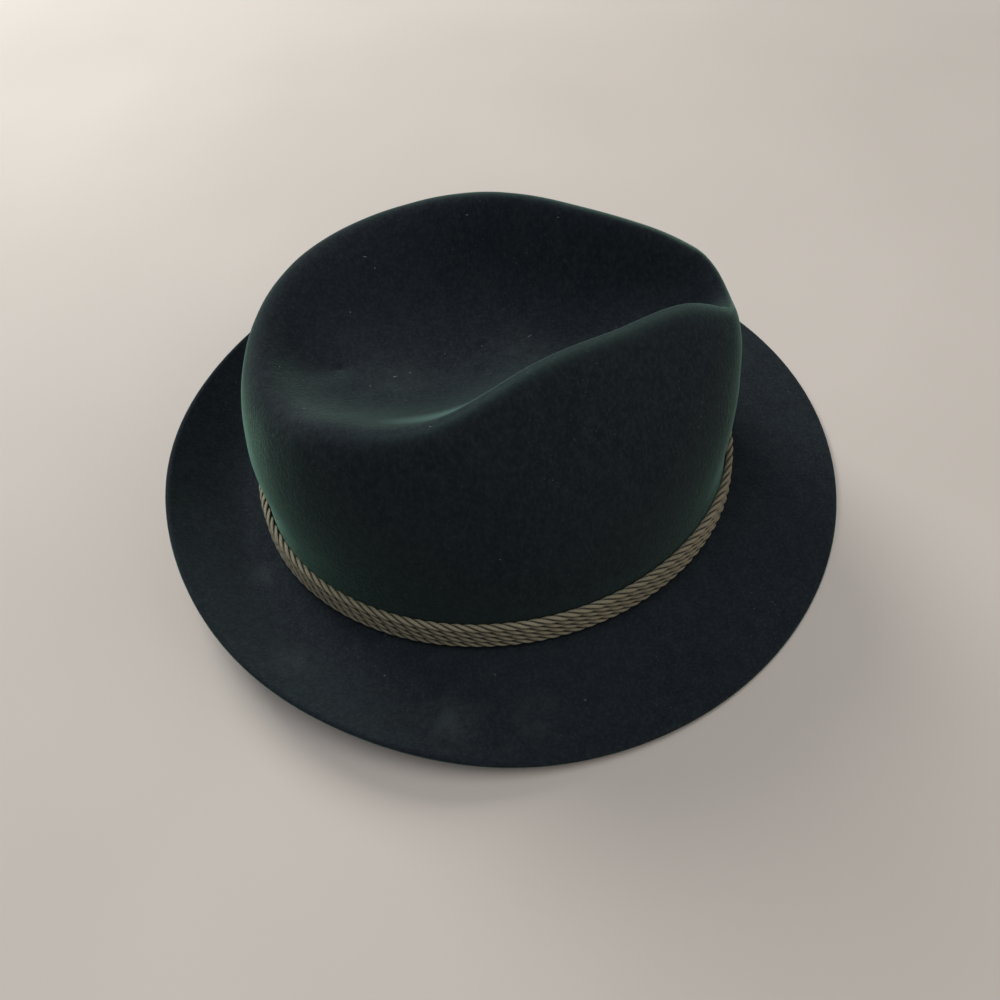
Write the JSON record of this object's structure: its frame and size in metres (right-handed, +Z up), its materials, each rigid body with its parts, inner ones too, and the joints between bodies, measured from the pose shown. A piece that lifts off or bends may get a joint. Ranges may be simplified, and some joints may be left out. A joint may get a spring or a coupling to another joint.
{
  "type": "tyrolean hat",
  "caption": "Felt hat with a teardrop dent in the crown, a brim turned up at the back and a band of thin twisted cords.",
  "frame": {"origin": "under the middle of the brim, on the surface that the hat rests on", "axes": "+X to the wearer's left, +Y towards the back of the hat, +Z up"},
  "size_m": [0.2854, 0.2932, 0.1079],
  "materials": {
    "felt": "dark green brushed fur felt with a short nap",
    "cord": "olive grey twisted cord with a slight shine"
  },
  "bodies": {
    "root": {"felt_body": "felt", "hat_cord_1": "cord", "hat_cord_2": "cord", "hat_cord_3": "cord", "hat_cord_4": "cord"}
  },
  "joints": []
}
